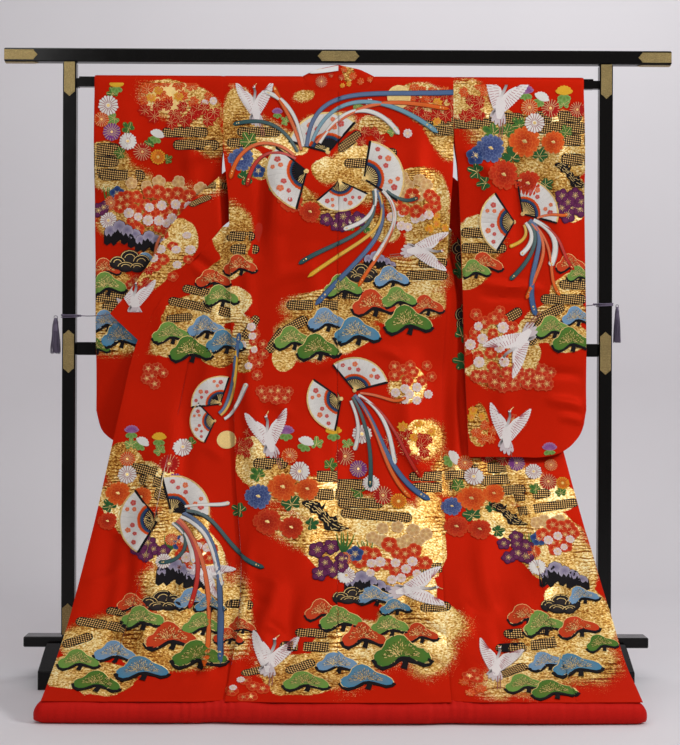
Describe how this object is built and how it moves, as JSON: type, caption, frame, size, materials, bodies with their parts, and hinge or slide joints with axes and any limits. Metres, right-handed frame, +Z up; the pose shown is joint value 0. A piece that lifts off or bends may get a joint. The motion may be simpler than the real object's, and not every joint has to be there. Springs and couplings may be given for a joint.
{
  "type": "uchikake wedding kimono on a kimono stand",
  "caption": "Uchikake over-kimono hung over the rod of a lacquered stand, its fronts drawn out by tie cords and its padded hem swept forward to lie on the floor.",
  "frame": {"origin": "on the floor, middle of the footprint", "axes": "+X along the stand's rails, +Y from the garment's back panel towards the stand, +Z up"},
  "size_m": [1.81, 0.759, 1.706],
  "materials": {
    "brocade": "satin weave brocade",
    "lining": "plain silk, padded",
    "white_silk": "plain silk",
    "cord": "braided silk",
    "lacquer": "gloss black lacquer",
    "gilt": "engraved sheet, satin"
  },
  "bodies": {
    "root": {"back_left": "brocade", "front_left": "brocade", "okumi_left": "brocade", "collar_left": "brocade", "sleeve_left_back": "brocade", "sleeve_left_front": "brocade", "back_right": "brocade", "front_right": "brocade", "okumi_right": "brocade", "collar_right": "brocade", "sleeve_right_back": "brocade", "sleeve_right_front": "brocade", "collar_lining": "white_silk", "hem_roll": "lining", "top_rail": "lacquer", "middle_rail": "lacquer", "bottom_beam": "lacquer", "hanging_rod": "lacquer", "post_left": "lacquer", "foot_left": "lacquer", "plate_top_left": "gilt", "plate_middle_left": "gilt", "plate_bottom_left": "gilt", "cap_front_left": "gilt", "cap_under_left": "gilt", "cord_left": "cord", "wrap_left": "cord", "tassel_left": "cord", "post_right": "lacquer", "foot_right": "lacquer", "plate_top_right": "gilt", "plate_middle_right": "gilt", "plate_bottom_right": "gilt", "cap_front_right": "gilt", "cap_under_right": "gilt", "cord_right": "cord", "wrap_right": "cord", "tassel_right": "cord", "plate_centre": "gilt"}
  },
  "joints": []
}
